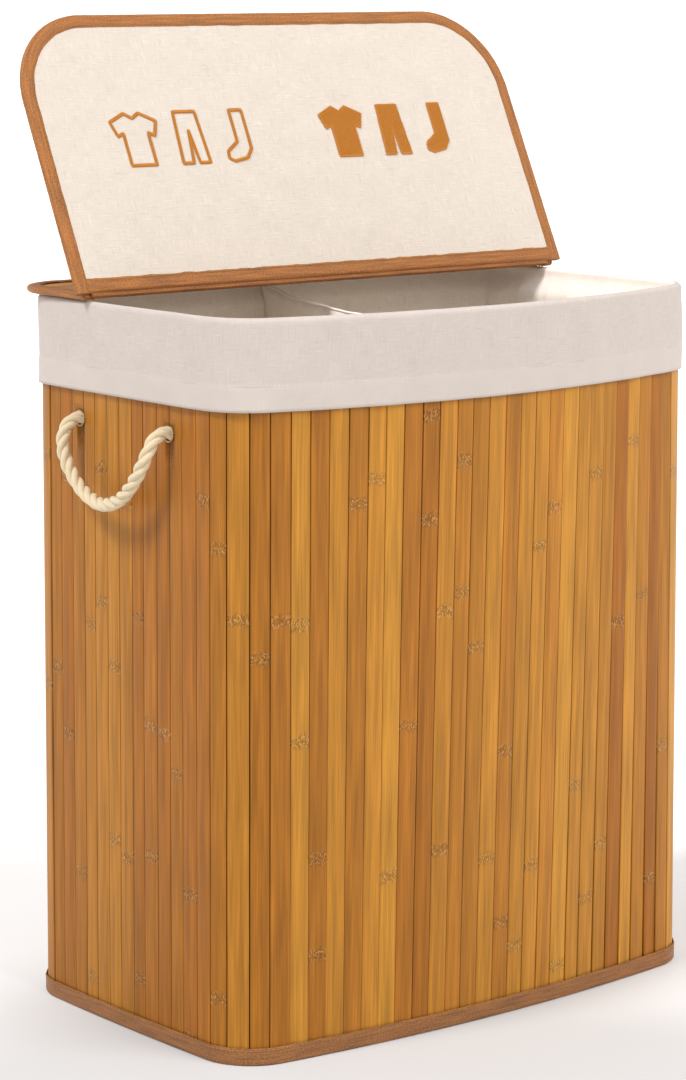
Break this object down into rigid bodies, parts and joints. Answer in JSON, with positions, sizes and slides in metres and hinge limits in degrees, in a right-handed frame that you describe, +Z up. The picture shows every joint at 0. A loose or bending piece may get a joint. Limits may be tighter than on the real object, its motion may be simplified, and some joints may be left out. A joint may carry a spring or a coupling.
{
  "type": "laundry hamper",
  "caption": "Upright bamboo slat laundry hamper with a cloth liner in two compartments, rope handles and a lid whose front flap opens.",
  "frame": {"origin": "middle of the base's underside, on the floor", "axes": "+Z up, +X to the right along the front, the front faces -Y"},
  "size_m": [0.594, 0.3682, 0.8734],
  "materials": {
    "bamboo": "satin lacquered bamboo",
    "backing_cloth": "plain woven polyester",
    "brown_tape": "woven ribbon tape",
    "rim_binding": "woven cotton tape",
    "hardboard": "pressed fibreboard",
    "steel_wire": "drawn steel wire",
    "liner_cotton": "plain woven cotton and linen",
    "lid_linen": "plain woven linen",
    "rope_cotton": "three-strand twisted cotton",
    "thread": "embroidery thread"
  },
  "bodies": {
    "hamper": {"front_slats": "bamboo", "back_slats": "bamboo", "left_slats": "bamboo", "right_slats": "bamboo", "lid_strip_slats": "bamboo", "wall_backing": "backing_cloth", "back_seam_tape": "backing_cloth", "lower_frame_loops": "backing_cloth", "upper_frame_loops": "backing_cloth", "base_cloth": "backing_cloth", "foot_tape": "brown_tape", "lid_strip_tape": "brown_tape", "rim_tape": "rim_binding", "lid_anchor_tape": "rim_binding", "base_board": "hardboard", "lid_strip_backing": "hardboard", "lower_frame_wire": "steel_wire", "upper_frame_wire": "steel_wire", "liner_wall": "liner_cotton", "liner_cuff": "liner_cotton", "liner_floor": "liner_cotton", "liner_divider": "liner_cotton", "lid_strip_lining": "lid_linen", "lid_strip_hinge_leaf": "lid_linen", "left_handle_knots": "rope_cotton", "right_handle_knots": "rope_cotton", "left_handle_eyelets": "rope_cotton", "right_handle_eyelets": "rope_cotton"},
    "lid": {"lid_flap_slats": "bamboo", "lid_flap_backing": "hardboard", "lid_flap_lining": "lid_linen", "lid_flap_tape": "brown_tape", "lid_flap_hinge_leaf": "lid_linen", "lights_mark": "thread", "darks_mark": "thread"},
    "left_handle": {"left_handle_rope": "rope_cotton"},
    "right_handle": {"right_handle_rope": "rope_cotton"}
  },
  "joints": [
    {"name": "lid_hinge", "type": "hinge", "parent": "hamper", "child": "lid", "pos_m": [0, 0.04718, 0.634], "axis": [1, 0, 0], "range_deg": [0, 115.4]},
    {"name": "left_handle_swing", "type": "hinge", "parent": "hamper", "child": "left_handle", "pos_m": [-0.274, 0, 0.527], "axis": [0, 1, 0], "range_deg": [0, 140]},
    {"name": "right_handle_swing", "type": "hinge", "parent": "hamper", "child": "right_handle", "pos_m": [0.274, 0, 0.527], "axis": [0, -1, 0], "range_deg": [0, 140]}
  ]
}
